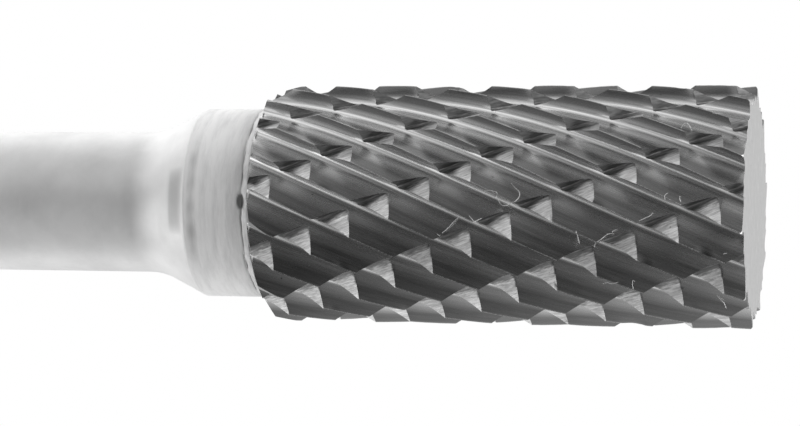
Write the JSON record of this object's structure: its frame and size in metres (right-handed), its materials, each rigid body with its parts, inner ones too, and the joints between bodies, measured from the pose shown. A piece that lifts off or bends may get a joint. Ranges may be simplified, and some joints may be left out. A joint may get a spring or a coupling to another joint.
{
  "type": "carbide burr",
  "caption": "Cylindrical rotary burr: a double-cut carbide head with crossing helical teeth and chip breakers, brazed to a plain round steel shank with a collar.",
  "frame": {"origin": "centre of the flat end face of the cutting head", "axes": "+Z along the tool's axis, from the head's end face to the back end of the shank; X and Y across it, with -Y the side that faces the camera in the main view"},
  "size_m": [0.01, 0.01, 0.06],
  "materials": {
    "carbide": "ground, semi-gloss dark grey",
    "braze": "silver solder, lumpy and dull bright",
    "shank_steel": "turned and ground, fine marks round the axis"
  },
  "bodies": {
    "root": {"carbide_head": "carbide", "braze_joint": "braze", "steel_shank": "shank_steel"}
  },
  "joints": []
}
